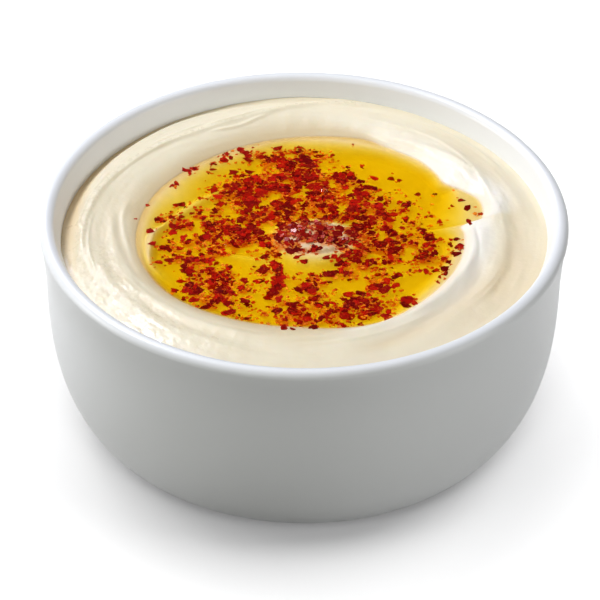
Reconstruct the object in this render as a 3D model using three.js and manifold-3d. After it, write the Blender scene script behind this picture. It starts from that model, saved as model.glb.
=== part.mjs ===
// A white porcelain bowl of hummus. A spoon has swirled the hummus into a well, a pool of olive
// oil lies in the well round a low mound, and chilli flakes are scattered over both.
// Millimetres, +Z up. The origin is the middle of the bowl's foot, and -Y is the front.
import * as THREE from 'three';
import { mergeVertices } from 'three/addons/utils/BufferGeometryUtils.js';
import Module from 'manifold-3d';

// The bowl, as a section from its axis outwards.
const BOWL_RADIUS = 65;
const BOWL_HEIGHT = 60;
const LIP_RADIUS = 1.9; // of the round section of the lip
const WALL_TOP = { radius: 64.4, height: 55.2 }; // outside of the wall, under the proud lip
const SHOULDER = { radius: 63.8, height: 45.5 }; // where the wall starts to turn in
const FOOT_RADIUS = 34;
const BELLY = 2.88; // exponent of the curve from foot to shoulder
const WALL = 4.4; // thickness of the wall at the shoulder
const FLOOR = 5.5; // thickness of the bowl's floor
const INNER_FOOT = 30; // radius of the flat inside the bowl
const FOOT_RING = 5; // width of the ring that the bowl stands on
const FOOT_RECESS = 1.2;
const BOWL_SIDES = 72;
const BELLY_STEPS = 7;
const LIP_STEPS = 6;

// The hummus and the oil that it holds.
const GAP = 0.3; // between pieces that touch
const OIL_LEVEL = 52.5;
const POOL_DEPTH = 2.6; // where it is deepest
const SHORE_DEPTH = 0.6; // least depth of the oil
const SHORE = 0.5; // width over which the hummus comes up out of the oil
const DEEP_REACH = 43.8; // beyond this radius the pool has its least depth
const WELL_BEND = 0.85; // under 1, the pool deepens fast beside its edge
const BANK_BEND = 1.7; // over 1, the bank rises fast beside the pool, then flattens
const STROKE_START = 1.2; // how far from the pool the spoon's strokes get their full height
const DIP_SIDES = 72;
const DIP_SIDE_STEPS = 7; // down the bowl's inner wall
const MOUND_RINGS = [0.4, 0.75, 1]; // as shares of the mound
const WELL_RINGS = [0, 0.1, 0.24, 0.42, 0.62, 0.82, 0.93, 1]; // from the mound to the pool's edge
const OIL_SET_IN = 0.15; // how far the oil's sides stand inside the pool's edges
const BANK_RINGS = [0, 0.1, 0.2, 0.3, 0.4, 0.5, 0.6, 0.7, 0.8, 0.9, 1]; // from there to the wall

// The low mound of hummus that stands out of the pool, and how far its foot spreads under the oil.
const MOUND = { x: 3, y: -0.8, across: 8.8, along: 6.6, top: 1.0, foot: 7 };

// Where the pool is shallow, with the share of its depth that is missing. The first place is the
// front of the mound, which runs down gently.
const SHALLOWS = [
  { x: 1, y: -9.5, across: 7, along: 4.5, missing: 0.65 },
  { x: -33, y: 16, across: 8, along: 12, missing: 0.45 },
  { x: 38, y: -6, across: 4, along: 9, missing: 0.2 },
];

// The run of the hummus round the bowl, as knots of [angle, value]. Angles are in degrees from +X
// towards the back.

// Radius of the pool's edge. Near 15 degrees a beak of oil runs out over the bank.
const POOL_EDGE = [
  [2, 39.7], [6.6, 39.3], [9.4, 44.8], [14, 46.2], [20, 46.7], [27, 44.6], [33, 42.6], [48, 44.5],
  [56, 44.6], [70, 45.8], [90, 44.2], [112, 42.6], [125, 41.8], [140, 41.5], [170, 41.4],
  [185, 41.4], [195, 41.3], [211, 40.8], [229, 39.5], [251, 37.8], [270, 37.4], [292, 39.4],
  [303, 39.5], [313, 39.1], [330, 39.1], [347, 39.6],
];
// How far in from its edge the pool gets its full depth.
const POOL_RUN = [
  [0, 6], [12, 14], [22, 9], [30, 4], [50, 4.2], [62, 5], [75, 8], [90, 10], [145, 11], [165, 9],
  [185, 7], [198, 3.6], [270, 3], [300, 4], [325, 6],
];
// How far out from the pool the bank rises, and the level that it rises to.
const BANK_RUN = [
  [0, 4.8], [2, 6], [6.6, 8.6], [9.4, 4.7], [14, 5.2], [20, 6.4], [27, 8], [50, 8], [62, 7],
  [72, 7.5], [82, 10.5], [99, 10.5], [122, 9.4], [145, 10], [158, 9], [175, 8.4], [200, 6.5],
  [225, 5.6], [250, 5], [270, 4.6], [285, 3.5], [310, 3], [340, 3.4],
];
const BANK_TOP = [
  [0, 54.6], [10, 55], [50, 55], [66, 54.9], [100, 55.1], [122, 55], [145, 54.8], [165, 54.4],
  [185, 54.3], [205, 54.5], [230, 54.6], [260, 54.5], [285, 54.3], [335, 54.3],
];
// Level of the hummus at the wall, how far from the wall it starts to fall to that level, and how
// much further on it has fallen. A steep gap is left at the back left.
const WALL_LINE = [
  [0, 54.8], [16, 54.1], [48, 54], [66, 54.4], [91, 54.6], [109, 54.1], [121, 53.7],
  [130, 53.4], [140, 53.1], [152, 52.9], [166, 52.8], [178, 52.7], [190, 52.6], [225, 52.6], [250, 53],
  [270, 53.6], [300, 54.2], [340, 54.6],
];
const WALL_RUN = [
  [0, 6], [100, 4.6], [120, 3.2], [150, 3.3], [170, 3.8], [186, 6], [205, 9.5], [250, 9.5], [275, 7],
  [300, 6],
];
const WALL_FALL = [
  [0, 6], [100, 4], [120, 2.6], [150, 2.6], [170, 3.2], [186, 6], [205, 9.5], [250, 9.5], [275, 7],
  [300, 6],
];

// What the spoon left: crests stand above the bank and grooves lie under it. Each follows a track
// of [angle, radius] and has its own height, width inwards, width outwards and fade at the ends.
const STROKES = [
  { track: [[66, 59], [84, 56.9], [99, 53.2], [109, 51.5], [122, 50.7], [144, 52.4], [168, 53.8],
    [196, 55.2]], height: 0.5, inwards: 0.8, outwards: 1.6, fade: 14 },
  { track: [[150, 53.4], [168, 54.2], [190, 54.2], [215, 51.8], [240, 51], [262, 50.8]],
    height: 0.3, inwards: 2.6, outwards: 3, fade: 16 },
  { track: [[150, 47.8], [166, 48.6], [183, 49], [207, 48.8], [232, 48], [258, 47]],
    height: -0.2, inwards: 1.6, outwards: 2, fade: 14 },
  { track: [[200, 47.6], [210, 48], [225, 46.4], [240, 45.8], [258, 44.9], [275, 43.7], [293, 43],
    [306, 42.6]], height: 0.5, inwards: 1.6, outwards: 1.6, fade: 12 },
  { track: [[300, 42.8], [315, 42.3], [334, 42.4], [352, 41.7], [366, 41]], height: 0.6,
    inwards: 1.4, outwards: 1.5, fade: 14 },
  { track: [[280, 49.8], [298, 48.4], [314, 46.5], [323, 46.8], [332, 46.4], [341, 45.2],
    [352, 43.6]], height: -0.55, inwards: 2.2, outwards: 2.4, fade: 14 },
  { track: [[316, 48.6], [325, 48.4], [342, 50.1], [362, 49.2], [393, 49.8], [412, 48.5],
    [427, 46.8], [436, 48.7]], height: 0.3, inwards: 2.6, outwards: 1, fade: 14 },
  { track: [[322, 51.4], [338, 51.6], [353, 51.9], [370, 52.8], [388, 53.4], [412, 53.8]],
    height: -0.3, inwards: 2, outwards: 2.4, fade: 14 },
];

// Chilli flakes. Patches have a middle, a spread each way and a share of the flakes.
const FLAKE_THICKNESS = 0.55;
const FLAKE_SUNK = 0.25; // how far a flake's underside lies below what it rests on
const POOL_FLAKE_SIZES = [3, 1.2]; // largest and smallest width
const MOUND_FLAKE_SIZES = [1.9, 1];
const FLAKE_TILT = 0.05; // radians
const FLAKE_CORNERS = 5;
const FLAKE_REACH = [0.7, 1.2]; // of a corner, as shares of half the width
const FLAKE_SLIMMEST = 0.65; // least length of its other side, as a share of its width
const FLAKE_SPACING = 0.62; // least distance between two flakes, as a share of both widths
const POOL_FLAKES = 150;
const MOUND_FLAKES = 22;
const FLAKE_CLEARANCE = 0.7; // from a flake's middle to the edge of what it lies on, in flake widths
const FLAKE_TRIES = 60; // draws allowed for each flake
const FLAKE_PATCHES = [
  { x: 0, y: 24, across: 11, along: 9, share: 1.8 },
  { x: 9, y: 17, across: 8, along: 6, share: 0.8 },
  { x: -15, y: 18, across: 9, along: 5, share: 0.9 },
  { x: -21, y: 3, across: 9, along: 6, share: 1.3 },
  { x: -27, y: -8, across: 6, along: 4, share: 0.6 },
  { x: -20.5, y: -21.5, across: 5, along: 5, share: 1.0 },
  { x: -4, y: -31, across: 8, along: 4, share: 0.7 },
  { x: 13, y: -27.5, across: 9, along: 4, share: 1.1 },
  { x: 20, y: -3, across: 11, along: 6, share: 1.6 },
  { x: 18, y: 10, across: 9, along: 5, share: 0.8 },
  { x: 0, y: 0, across: 36, along: 34, share: 1.6 },
];
const MERGE = 1e-4; // points closer than this are one

const wasm = await Module();
wasm.setup();

// ---- numbers ----

const clamp = (value, low, high) => Math.min(high, Math.max(low, value));

const ease = (value) => {
  const t = clamp(value, 0, 1);
  return t * t * (3 - 2 * t);
};

// The same draws every time.
function seededRandom(seed) {
  let state = seed;
  return () => {
    state = (state + 0x6d2b79f5) | 0;
    let mixed = Math.imul(state ^ (state >>> 15), 1 | state);
    mixed = (mixed + Math.imul(mixed ^ (mixed >>> 7), 61 | mixed)) ^ mixed;
    return ((mixed ^ (mixed >>> 14)) >>> 0) / 2 ** 32;
  };
}

// A smooth curve through knots of [angle, value], by Catmull-Rom.
function along(knots, angle) {
  const last = knots.length - 1;
  let i = 0;
  while (i < last - 1 && knots[i + 1][0] <= angle) i += 1;
  const at = (n) => knots[clamp(n, 0, last)];
  const t = clamp((angle - knots[i][0]) / (knots[i + 1][0] - knots[i][0]), 0, 1);
  const [before, from, to, after] = [at(i - 1)[1], at(i)[1], at(i + 1)[1], at(i + 2)[1]];
  const bend = 2 * before - 5 * from + 4 * to - after;
  const turn = 3 * from - before - 3 * to + after;
  return 0.5 * (2 * from + (to - before) * t + bend * t * t + turn * t * t * t);
}

const FULL_TURN = 360;

// The same all the way round, as a function of the angle.
function roundTheBowl(knots) {
  const before = knots.slice(-2).map(([angle, value]) => [angle - FULL_TURN, value]);
  const after = knots.slice(0, 2).map(([angle, value]) => [angle + FULL_TURN, value]);
  return (angle) => along([...before, ...knots, ...after], angle);
}

const poolRadius = roundTheBowl(POOL_EDGE);
const poolRun = roundTheBowl(POOL_RUN);
const bankRun = roundTheBowl(BANK_RUN);
const bankTop = roundTheBowl(BANK_TOP);
const wallLine = roundTheBowl(WALL_LINE);
const wallRun = roundTheBowl(WALL_RUN);
const wallFall = roundTheBowl(WALL_FALL);

// ---- the surface of the hummus ----

// Height that one spoon stroke adds at a radius and an angle between 0 and 360 degrees.
function strokeHeight({ track, height, inwards, outwards, fade }, radius, angle) {
  const first = track[0][0];
  const end = track.at(-1)[0];
  const turned = angle < first ? angle + FULL_TURN : angle;
  if (turned > end) return 0;
  const fromTrack = radius - along(track, turned);
  const width = fromTrack < 0 ? inwards : outwards;
  const share = ease((turned - first) / fade) * ease((end - turned) / fade);
  return height * share * Math.exp(-((fromTrack / width) ** 2));
}

// From 0 on the bank to 1 where the hummus has fallen to its level at the wall.
function fallenToWall(radius, angle) {
  const start = innerWall(wallLine(angle)) - wallRun(angle);
  return ease((radius - start) / wallFall(angle));
}

function bankHeight(radius, angle) {
  const fromEdge = radius - poolRadius(angle);
  const left = 1 - clamp(fromEdge / bankRun(angle), 0, 1);
  const rise = (bankTop(angle) - OIL_LEVEL) * (1 - left ** BANK_BEND);
  const fall = (wallLine(angle) - bankTop(angle)) * fallenToWall(radius, angle);
  const strokes = STROKES.reduce((sum, stroke) => sum + strokeHeight(stroke, radius, angle), 0);
  const underOil = SHORE_DEPTH * (1 - ease(fromEdge / SHORE));
  return OIL_LEVEL + rise + fall + strokes * ease(fromEdge / STROKE_START) - underOil;
}

// Distance from the mound's edge, negative inside it.
function fromMound(x, y) {
  const share = Math.hypot((x - MOUND.x) / MOUND.across, (y - MOUND.y) / MOUND.along);
  return (share - 1) * MOUND.across;
}

// Near 1 at the middle of a patch, and near 0 well outside it.
const withinPatch = (x, y, patch) => Math.exp(
  -(((x - patch.x) / patch.across) ** 2) - ((y - patch.y) / patch.along) ** 2,
);

function poolDepth(x, y, radius, angle) {
  const fromEdge = Math.min(poolRadius(angle), DEEP_REACH) - radius;
  const deep = ease(fromEdge / poolRun(angle)) ** WELL_BEND * ease(fromMound(x, y) / MOUND.foot);
  const shallow = (depth, place) => depth * (1 - place.missing * withinPatch(x, y, place));
  return SHALLOWS.reduce(shallow, POOL_DEPTH * deep);
}

function wellHeight(x, y, radius, angle) {
  const toMound = fromMound(x, y);
  if (toMound < 0) return OIL_LEVEL + MOUND.top * (1 - (1 + toMound / MOUND.across) ** 2);
  return OIL_LEVEL - Math.max(SHORE_DEPTH * ease(toMound / SHORE), poolDepth(x, y, radius, angle));
}

const degrees = (x, y) => (THREE.MathUtils.radToDeg(Math.atan2(y, x)) + FULL_TURN) % FULL_TURN;

function hummusHeight(x, y) {
  const radius = Math.hypot(x, y);
  const angle = degrees(x, y);
  if (radius < poolRadius(angle)) return wellHeight(x, y, radius, angle);
  return bankHeight(radius, angle);
}

// ---- closed solids ----

const polar = (radius, turn) => [radius * Math.cos(turn), radius * Math.sin(turn)];

// A closed geometry from rings of points, each ring joined to the next. A ring may be one point
// repeated, as at a pole, and the last ring joins the first again where closed is true.
function skin(rings, closed) {
  const sides = rings[0].length;
  const index = [];
  const spans = closed ? rings.length : rings.length - 1;
  for (let r = 0; r < spans; r += 1) {
    const here = r * sides;
    const next = ((r + 1) % rings.length) * sides;
    for (let s = 0; s < sides; s += 1) {
      const t = (s + 1) % sides;
      index.push(here + s, next + s, next + t, here + s, next + t, here + t);
    }
  }
  const geometry = new THREE.BufferGeometry();
  geometry.setAttribute('position', new THREE.Float32BufferAttribute(rings.flat(2), 3));
  geometry.setIndex(index);
  return withoutSlivers(mergeVertices(geometry, MERGE));
}

function withoutSlivers(geometry) {
  const index = geometry.getIndex().array;
  const kept = [];
  for (let i = 0; i < index.length; i += 3) {
    const [a, b, c] = [index[i], index[i + 1], index[i + 2]];
    if (a !== b && b !== c && c !== a) kept.push(a, b, c);
  }
  geometry.setIndex(kept);
  return geometry;
}

function toSolid(geometry) {
  geometry.deleteAttribute('normal');
  geometry.deleteAttribute('uv');
  const merged = mergeVertices(geometry, MERGE);
  const vertProperties = new Float32Array(merged.getAttribute('position').array);
  const triVerts = new Uint32Array(merged.getIndex().array);
  return new wasm.Manifold(new wasm.Mesh({ numProp: 3, vertProperties, triVerts }));
}

function toGeometry(solid) {
  const mesh = solid.getMesh();
  const geometry = new THREE.BufferGeometry();
  geometry.setAttribute('position', new THREE.BufferAttribute(mesh.vertProperties, mesh.numProp));
  geometry.setIndex(new THREE.BufferAttribute(mesh.triVerts, 1));
  const flat = geometry.toNonIndexed();
  flat.computeVertexNormals();
  return flat;
}

// ---- the bowl ----

// Points of the curve from a foot radius and height up to a shoulder.
function bellyCurve(foot, shoulder, steps) {
  const points = [];
  for (let i = 0; i <= steps; i += 1) {
    const turn = (i / steps) * (Math.PI / 2);
    const out = Math.sin(turn) ** (2 / BELLY);
    const up = 1 - Math.cos(turn) ** (2 / BELLY);
    points.push(new THREE.Vector2(
      foot.radius + (shoulder.radius - foot.radius) * out,
      foot.height + (shoulder.height - foot.height) * up,
    ));
  }
  return points;
}

const innerFoot = { radius: INNER_FOOT, height: FLOOR };
const innerShoulder = { radius: SHOULDER.radius - WALL, height: SHOULDER.height };
const innerTop = { radius: WALL_TOP.radius - WALL, height: WALL_TOP.height };

// Inner radius of the upper wall at a height.
function innerWall(height) {
  const share = (height - innerShoulder.height) / (innerTop.height - innerShoulder.height);
  return THREE.MathUtils.lerp(innerShoulder.radius, innerTop.radius, share);
}

function lipPoints() {
  const points = [];
  const middle = { radius: BOWL_RADIUS - LIP_RADIUS, height: BOWL_HEIGHT - LIP_RADIUS };
  for (let i = 0; i <= LIP_STEPS; i += 1) {
    const turn = (i / LIP_STEPS) * Math.PI;
    points.push(new THREE.Vector2(
      middle.radius + LIP_RADIUS * Math.cos(turn),
      middle.height + LIP_RADIUS * Math.sin(turn),
    ));
  }
  return points;
}

function bowlGeometry() {
  const ring = FOOT_RADIUS - FOOT_RING;
  const outside = bellyCurve({ radius: FOOT_RADIUS, height: 0 }, SHOULDER, BELLY_STEPS);
  const inside = bellyCurve(innerFoot, innerShoulder, BELLY_STEPS);
  const profile = [
    new THREE.Vector2(0, FOOT_RECESS),
    new THREE.Vector2(ring - FOOT_RECESS, FOOT_RECESS),
    new THREE.Vector2(ring, 0),
    ...outside,
    new THREE.Vector2(WALL_TOP.radius, WALL_TOP.height),
    ...lipPoints(),
    new THREE.Vector2(innerTop.radius, innerTop.height),
    ...inside.reverse(),
    new THREE.Vector2(0, FLOOR),
  ];
  return new THREE.LatheGeometry(profile, BOWL_SIDES).rotateX(Math.PI / 2);
}

// ---- rings of points on the surface ----

const sideTurns = Array.from({ length: DIP_SIDES }, (_, s) => (s / DIP_SIDES) * 2 * Math.PI);

function moundLoop(out) {
  return sideTurns.map((turn) => {
    const [cos, sin] = polar(1, turn);
    return [MOUND.x + (MOUND.across + out) * cos, MOUND.y + (MOUND.along + out) * sin];
  });
}

const poolLoop = (out) => sideTurns.map(
  (turn) => polar(poolRadius(THREE.MathUtils.radToDeg(turn)) + out, turn),
);

const roundLoop = (radius) => sideTurns.map((turn) => polar(radius, turn));

// Where the hummus meets the bowl's wall.
const wallLoop = () => sideTurns.map(
  (turn) => polar(innerWall(wallLine(THREE.MathUtils.radToDeg(turn))) - GAP, turn),
);

// A loop part of the way between two others.
function between(from, to, share) {
  return from.map(([x, y], s) => [
    THREE.MathUtils.lerp(x, to[s][0], share),
    THREE.MathUtils.lerp(y, to[s][1], share),
  ]);
}

const lifted = (loop, heightAt) => loop.map(([x, y]) => [x, y, heightAt(x, y)]);

// ---- the hummus ----

function hummusSurfaceRings() {
  const middle = sideTurns.map(() => [MOUND.x, MOUND.y]);
  const mound = MOUND_RINGS.map((share) => between(middle, moundLoop(0), share));
  const well = WELL_RINGS.map((share) => between(moundLoop(SHORE), poolLoop(0), share));
  const wall = wallLoop();
  const bank = BANK_RINGS.map((share) => between(poolLoop(SHORE), wall, share));
  return [middle, ...mound, ...well, ...bank].map((loop) => lifted(loop, hummusHeight));
}

function hummusSideRings() {
  const foot = { radius: innerFoot.radius, height: FLOOR + GAP };
  const shoulder = { radius: innerShoulder.radius - GAP, height: innerShoulder.height };
  const side = bellyCurve(foot, shoulder, DIP_SIDE_STEPS).reverse();
  const rings = side.map((point) => lifted(roundLoop(point.x), () => point.y));
  return [...rings, lifted(roundLoop(0), () => FLOOR + GAP)];
}

// ---- the oil ----

// Turns every face over. The oil's rings run as the well's do, so that both have the same facets.
function facingOut(geometry) {
  geometry.setIndex([...geometry.getIndex().array].reverse());
  return geometry;
}

function oilGeometry() {
  const inner = moundLoop(SHORE + OIL_SET_IN);
  const outer = poolLoop(-OIL_SET_IN);
  const underside = (x, y) => hummusHeight(x, y) + GAP;
  const bottom = WELL_RINGS.map((share) => lifted(between(inner, outer, share), underside));
  const top = [outer, inner].map((loop) => lifted(loop, () => OIL_LEVEL));
  return facingOut(skin([...bottom, ...top], true));
}

// ---- chilli flakes ----

// An irregular chip, flat on the XY plane.
function flakeGeometry(width, random) {
  const shape = new THREE.Shape();
  for (let i = 0; i < FLAKE_CORNERS; i += 1) {
    const turn = ((i + 0.5 * random()) / FLAKE_CORNERS) * 2 * Math.PI;
    const [x, y] = polar(0.5 * width * THREE.MathUtils.lerp(...FLAKE_REACH, random()), turn);
    if (i === 0) shape.moveTo(x, y);
    else shape.lineTo(x, y);
  }
  return new THREE.ExtrudeGeometry(shape, { depth: FLAKE_THICKNESS, bevelEnabled: false });
}

function placedFlake({ x, y, z, width }, random) {
  const geometry = flakeGeometry(width, random);
  geometry.scale(1, THREE.MathUtils.lerp(FLAKE_SLIMMEST, 1, random()), 1);
  geometry.rotateZ(2 * Math.PI * random());
  geometry.rotateX(FLAKE_TILT * (2 * random() - 1));
  geometry.rotateY(FLAKE_TILT * (2 * random() - 1));
  geometry.translate(x, y, z - FLAKE_SUNK);
  return toSolid(geometry);
}

// Mostly near 0, and never past 1.5 either way.
const bell = (random) => random() + random() + random() - 1.5;

function patchPoint(random) {
  const total = FLAKE_PATCHES.reduce((sum, patch) => sum + patch.share, 0);
  let draw = random() * total;
  const patch = FLAKE_PATCHES.find((one) => {
    draw -= one.share;
    return draw <= 0;
  });
  return [patch.x + patch.across * bell(random), patch.y + patch.along * bell(random)];
}

const compass = Array.from({ length: 8 }, (_, n) => (n / 8) * 2 * Math.PI);

// Whether a test holds all round a point.
function allRound(x, y, reach, test) {
  return compass.every((turn) => {
    const [east, north] = polar(reach, turn);
    return test(x + east, y + north);
  });
}

const overOil = (x, y) => {
  const fromEdge = poolRadius(degrees(x, y)) - Math.hypot(x, y);
  return fromEdge > OIL_SET_IN && fromMound(x, y) > SHORE + OIL_SET_IN;
};

const onOil = (x, y, reach) => allRound(x, y, reach, overOil);

const onMound = (x, y, reach) => allRound(x, y, reach, (px, py) => fromMound(px, py) < 0);

// Flakes from large to small, none too close to another, where allowed says so.
function scatter(count, [largest, smallest], draw, allowed, levelAt, random) {
  const placed = [];
  for (let tries = 0; placed.length < count && tries < FLAKE_TRIES * count; tries += 1) {
    const [x, y] = draw(random);
    const width = THREE.MathUtils.lerp(largest, smallest, placed.length / count);
    const apart = (other) => Math.hypot(other.x - x, other.y - y) > FLAKE_SPACING * (other.width + width);
    const clear = allowed(x, y, FLAKE_CLEARANCE * width) && placed.every(apart);
    if (clear) placed.push({ x, y, z: levelAt(x, y), width });
  }
  return placed;
}

function withFlakes(geometry, flakes, random) {
  const solid = flakes.reduce((sum, flake) => sum.add(placedFlake(flake, random)), toSolid(geometry));
  return toGeometry(solid);
}

// ---- the parts ----

function porcelainBowl() {
  const material = new THREE.MeshStandardMaterial({ color: 0xeef0f2, roughness: 0.15, metalness: 0 });
  const mesh = new THREE.Mesh(bowlGeometry(), material);
  mesh.name = 'bowl';
  return mesh;
}

function hummusDip() {
  const random = seededRandom(11);
  const moundPoint = () => [
    MOUND.x + MOUND.across * (2 * random() - 1),
    MOUND.y + MOUND.along * (2 * random() - 1),
  ];
  const flakes = scatter(MOUND_FLAKES, MOUND_FLAKE_SIZES, moundPoint, onMound, hummusHeight, random);
  const body = skin([...hummusSurfaceRings(), ...hummusSideRings()], false);
  const material = new THREE.MeshStandardMaterial({ color: 0xebdfc3, roughness: 0.45, metalness: 0 });
  const mesh = new THREE.Mesh(withFlakes(body, flakes, random), material);
  mesh.name = 'hummus';
  return mesh;
}

function oliveOil() {
  const random = seededRandom(23);
  const flakes = scatter(POOL_FLAKES, POOL_FLAKE_SIZES, patchPoint, onOil, () => OIL_LEVEL, random);
  const material = new THREE.MeshStandardMaterial({ color: 0xdcae12, roughness: 0.08, metalness: 0 });
  const mesh = new THREE.Mesh(withFlakes(oilGeometry(), flakes, random), material);
  mesh.name = 'olive_oil';
  return mesh;
}

const bowlOfHummus = new THREE.Group();
bowlOfHummus.add(porcelainBowl(), hummusDip(), oliveOil());

export default bowlOfHummus;
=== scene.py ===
"""A white porcelain bowl of hummus with a pool of olive oil in its swirl and chilli flakes.

The bowl, the hummus and the oil replace the frame's three solids and keep their form: the same
bowl section, the same shore, bank, spoon strokes and mound, with finer relief. Sizes are in
millimetres until a mesh is made, and angles are in degrees from +X towards the back.
"""
import math

import bmesh
import bpy
import numpy as np
from mathutils import Matrix, Vector


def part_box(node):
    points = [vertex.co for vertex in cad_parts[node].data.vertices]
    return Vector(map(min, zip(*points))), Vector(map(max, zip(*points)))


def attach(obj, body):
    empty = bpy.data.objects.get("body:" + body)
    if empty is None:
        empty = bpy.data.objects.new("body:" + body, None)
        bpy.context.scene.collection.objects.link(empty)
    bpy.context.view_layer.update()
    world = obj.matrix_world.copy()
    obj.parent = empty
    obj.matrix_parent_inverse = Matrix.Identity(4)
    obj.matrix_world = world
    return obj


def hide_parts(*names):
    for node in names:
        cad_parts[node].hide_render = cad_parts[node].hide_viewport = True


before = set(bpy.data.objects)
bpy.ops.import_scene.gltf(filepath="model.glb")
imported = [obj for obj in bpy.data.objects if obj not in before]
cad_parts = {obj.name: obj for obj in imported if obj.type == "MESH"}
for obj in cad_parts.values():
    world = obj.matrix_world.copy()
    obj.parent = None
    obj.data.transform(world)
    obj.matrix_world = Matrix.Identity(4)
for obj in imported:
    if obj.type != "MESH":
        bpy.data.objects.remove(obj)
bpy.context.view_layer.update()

MM = 0.001
FULL_TURN = 360.0
HALF_TURN = 180.0

# ---- sizes of the bowl ----

BOWL_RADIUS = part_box("bowl")[1][0] / MM
BOWL_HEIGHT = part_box("bowl")[1][2] / MM
LIP_RADIUS = 1.9
WALL_TOP = (64.4, 55.2)  # outside of the wall, under the proud lip
SHOULDER = (63.8, 45.5)  # where the wall starts to turn in
FOOT_RADIUS = 34.0
BELLY = 2.88  # exponent of the curve from foot to shoulder
WALL = 4.4
FLOOR = 5.5
INNER_FOOT = 30.0
FOOT_RING = 5.0
FOOT_RECESS = 1.2
BOWL_SIDES = 192
BELLY_STEPS = 28
LIP_STEPS = 14

# ---- sizes of the pool ----

OIL_LEVEL = 52.5
OIL_SIDES = 360
SHORE = 0.4  # how far the oil reaches into the bank
OIL_GAP = 0.12  # between the oil's underside and the hummus
OIL_EDGE = 0.2  # thickness of the oil at its rim
# Radius of the pool's edge by angle. Near 15 degrees a beak of oil runs out over the bank.
POOL_EDGE = [
    (2, 39.7), (6.6, 39.3), (7.8, 42.9), (9.4, 44.8), (14, 46.2), (20, 46.7), (27, 44.6),
    (33, 42.6), (39, 43.4), (48, 44.5), (56, 44.6), (63, 45.0), (70, 45.8), (78, 45.2),
    (90, 44.2), (101, 43.4), (112, 42.6), (125, 41.8), (140, 41.5), (155, 41.5), (170, 41.4),
    (185, 41.4), (195, 41.3), (203, 41.0), (211, 40.8), (220, 40.3), (229, 39.5), (238, 38.6),
    (251, 37.8), (262, 37.4), (270, 37.4), (278, 38.1), (292, 39.4), (303, 39.5), (313, 39.1),
    (330, 39.1), (347, 39.6),
]
# How far in from the edge the pool gets its full depth, by angle.
POOL_RUN = [
    (0, 6.0), (12, 14.0), (22, 9.0), (30, 4.0), (50, 4.2), (62, 5.0), (75, 8.0), (90, 10.0),
    (145, 11.0), (165, 9.0), (185, 7.0), (198, 3.6), (225, 3.0), (270, 3.0), (300, 4.0),
    (325, 6.0), (345, 6.0),
]
POOL_DEPTH = 2.6
DEEP_REACH = 43.8  # beyond this radius the pool has its edge's depth alone
# Depth of the steep step at the pool's edge, by angle: none where the oil thins out gently.
POOL_STEP = [
    (0, 0.15), (8, 0.25), (20, 0.3), (35, 0.3), (68, 0.2), (80, 0.1), (95, 0.05), (140, 0.06),
    (170, 0.1), (182, 0.1), (196, 0.2), (205, 0.6), (225, 0.6), (250, 0.4), (270, 0.6),
    (295, 0.6), (320, 0.3), (345, 0.1),
]
STEP_RUN = 0.7
# The slope below the step is a power of the way down it: a higher one is gentler at the edge.
SLOPE_POWER = 0.85
GENTLER = 0.45
GENTLE_SHORES = [(185, 24), (338, 26)]  # angle, spread
# Places where the pool is shallow: (x, y, across, along, share of the depth that is missing).
# The first is the mound's front, which runs down gently.
SHALLOWS = [
    (1.0, -9.5, 7.0, 4.5, 0.65),
    (-33.0, 16.0, 8.0, 12.0, 0.45),
    (38.0, -6.0, 4.0, 9.0, 0.2),
]
LEAST_OIL = 0.12  # over everything but the mound
MOUND = {"x": 3.0, "y": -0.8, "across": 8.8, "along": 6.6, "top": 1.0}
MOUND_SLOPE = 7.0  # how far the pool's floor takes to rise to the mound
MOUND_POWER = 0.8

# ---- sizes of the bank ----

DIP_SIDES = 600
# The bank beside the pool, by angle: how far out it rises, and the level that it rises to.
BANK_RUN = [
    (0, 4.8), (2, 6.0), (6.6, 8.6), (7.8, 5.7), (9.4, 4.7), (14, 5.2), (20, 6.4), (27, 8.0),
    (50, 8.0), (62, 7.0), (72, 7.5), (82, 10.5), (99, 10.5), (122, 9.4), (145, 10.0),
    (158, 9.0), (175, 8.4), (200, 6.5), (225, 5.6), (250, 5.0), (270, 4.6), (285, 3.5),
    (310, 3.0), (340, 3.4),
]
BANK_TOP = [
    (0, 54.6), (10, 55.0), (50, 55.0), (66, 54.9), (80, 55.1), (100, 55.2), (122, 55.0),
    (145, 54.8), (165, 54.4), (185, 54.3), (205, 54.5), (230, 54.6), (260, 54.5), (285, 54.3),
    (300, 54.2), (335, 54.3),
]
BANK_POWER = 1.7  # how round the bank's rise is
# Level of the hummus where it meets the wall, by angle, how far from the wall it starts to fall
# to that level and how far on it is down there. A steep gap is left at the back left, and a wet
# slope at the front left.
WALL_LINE = [
    (0, 54.8), (16, 54.1), (48, 54.0), (66, 54.4), (91, 54.6), (109, 54.1), (121, 53.7),
    (130, 53.4), (140, 53.1), (152, 52.9), (166, 52.8), (178, 52.7), (190, 52.6), (225, 52.6),
    (250, 53.0), (270, 53.6), (300, 54.2), (340, 54.6),
]
WALL_RUN = [
    (0, 6.0), (100, 4.6), (120, 3.2), (150, 3.3), (170, 3.8), (186, 6.0), (205, 9.5),
    (250, 9.5), (275, 7.0), (300, 6.0),
]
WALL_FALL = [
    (0, 6.0), (100, 4.0), (120, 2.6), (150, 2.6), (170, 3.2), (186, 6.0), (205, 9.5),
    (250, 9.5), (275, 7.0), (300, 6.0),
]
FILL_LEVEL = 54.0  # about the middle of those levels
INTO_WALL = 0.15  # how far the hummus reaches into the bowl's wall
UNDER_GAP = 0.3  # between the hummus and the bowl below its surface

# ---- marks of the spoon ----

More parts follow.
